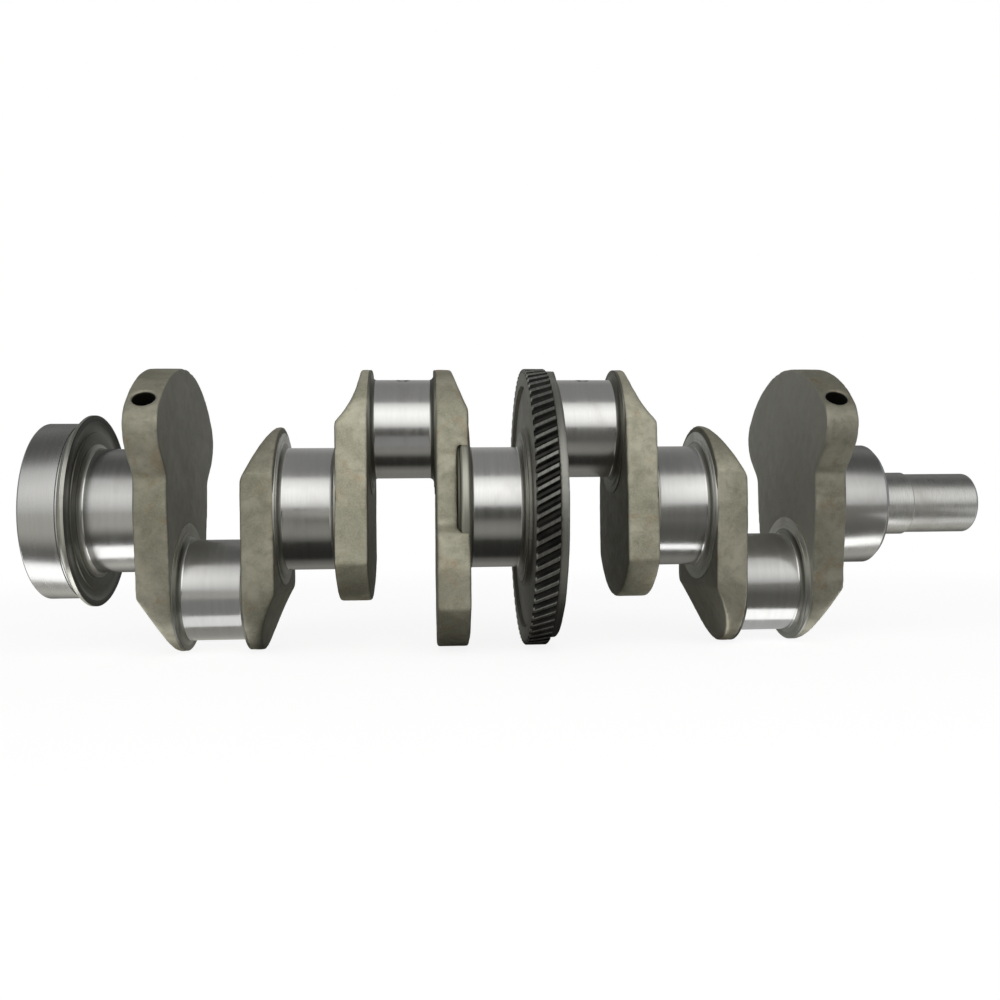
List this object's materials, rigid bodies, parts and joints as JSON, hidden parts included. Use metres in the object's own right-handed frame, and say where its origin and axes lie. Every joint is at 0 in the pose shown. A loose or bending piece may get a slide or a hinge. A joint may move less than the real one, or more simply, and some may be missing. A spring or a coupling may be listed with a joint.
{
  "type": "crankshaft",
  "caption": "Forged inline crankshaft with ground main journals and crankpins, end and centre counterweights, a helical ring gear, a rear seal journal and a stepped nose.",
  "frame": {"origin": "centre of main journal 3, the middle one", "axes": "+X along the main axis towards the nose, +Z from the main axis towards crankpins 2 and 3, +Y towards the keys in the nose"},
  "size_m": [0.6645, 0.196, 0.196],
  "materials": {
    "ground_steel": "ground and polished",
    "turned_steel": "turned, with fine rings",
    "forged_steel": "shot-blasted forging",
    "gear_steel": "dark hardened gear",
    "pin_steel": "satin"
  },
  "bodies": {
    "root": {"rear_seal_journal": "ground_steel", "oil_slinger": "turned_steel", "thrust_collar": "turned_steel", "balancer_drive_gear": "gear_steel", "timing_gear_seat": "turned_steel", "pulley_seat": "turned_steel", "timing_gear_key": "pin_steel", "pulley_key": "pin_steel", "flywheel_dowel": "pin_steel", "main_journal_1": "ground_steel", "main_journal_2": "ground_steel", "main_journal_3": "ground_steel", "main_journal_4": "ground_steel", "main_journal_5": "ground_steel", "crankpin_1": "ground_steel", "crankpin_2": "ground_steel", "crankpin_3": "ground_steel", "crankpin_4": "ground_steel", "crank_web_1": "forged_steel", "crank_web_2": "forged_steel", "crank_web_3": "forged_steel", "crank_web_4": "forged_steel", "crank_web_5": "forged_steel", "crank_web_6": "forged_steel", "crank_web_7": "forged_steel", "crank_web_8": "forged_steel"}
  },
  "joints": []
}
